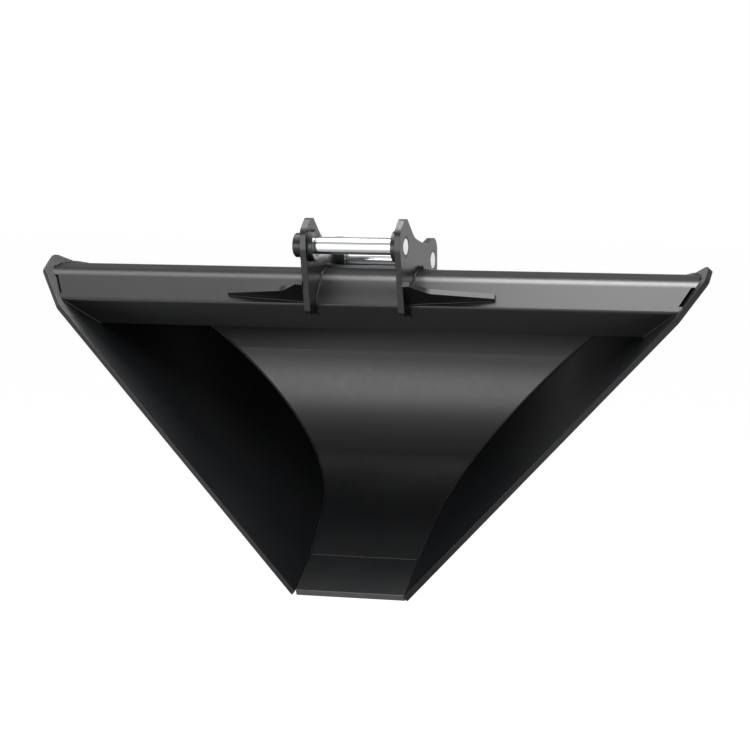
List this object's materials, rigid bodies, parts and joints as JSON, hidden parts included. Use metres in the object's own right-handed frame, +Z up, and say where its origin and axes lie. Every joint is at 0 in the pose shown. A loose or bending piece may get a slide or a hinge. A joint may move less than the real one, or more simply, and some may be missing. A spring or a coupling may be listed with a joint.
{
  "type": "v-shaped ditching bucket",
  "caption": "V-shaped ditching bucket for a small excavator: sloping side plates, rolled back, flat blade, folded mouth beam and a pin-on hitch with two withdrawable pins.",
  "frame": {"origin": "on the arm pin's axis, midway between the two ears", "axes": "+X along the arm pin to the right as seen from the mouth, -Y out of the mouth, +Z up as it hangs"},
  "size_m": [1.801, 0.4746, 0.9716],
  "materials": {
    "paint": "satin black enamel",
    "blade": "satin black enamel, rubbed at the edge",
    "chrome": "hard chrome, ground",
    "bush": "hardened, black with oil",
    "bolt": "zinc plated"
  },
  "bodies": {
    "bucket": {"wrapper": "paint", "cutting_edge": "blade", "side_plate_left": "paint", "side_plate_right": "paint", "beam_front": "paint", "beam_closer": "paint", "ear_left": "paint", "ear_right": "paint", "hitch_pad": "paint", "boss_front_left": "paint", "boss_front_right": "paint", "boss_rear_left": "paint", "boss_rear_right": "paint", "bush_front_left": "bush", "bush_front_right": "bush", "bush_rear_left": "bush", "bush_rear_right": "bush", "wing_gusset_left": "paint", "wing_gusset_right": "paint"},
    "arm_pin_body": {"front_pin": "chrome", "front_pin_head": "paint", "front_pin_flag": "paint", "front_keeper_bolt": "bolt"},
    "link_pin_body": {"rear_pin": "chrome", "rear_pin_head": "paint", "rear_pin_flag": "paint", "rear_keeper_bolt": "bolt"}
  },
  "joints": [
    {"name": "front_pin_slide", "type": "slide", "parent": "bucket", "child": "arm_pin_body", "axis": [-1, 0, 0], "range_m": [0, 0.6]},
    {"name": "rear_pin_slide", "type": "slide", "parent": "bucket", "child": "link_pin_body", "axis": [-1, 0, 0], "range_m": [0, 0.6]}
  ]
}
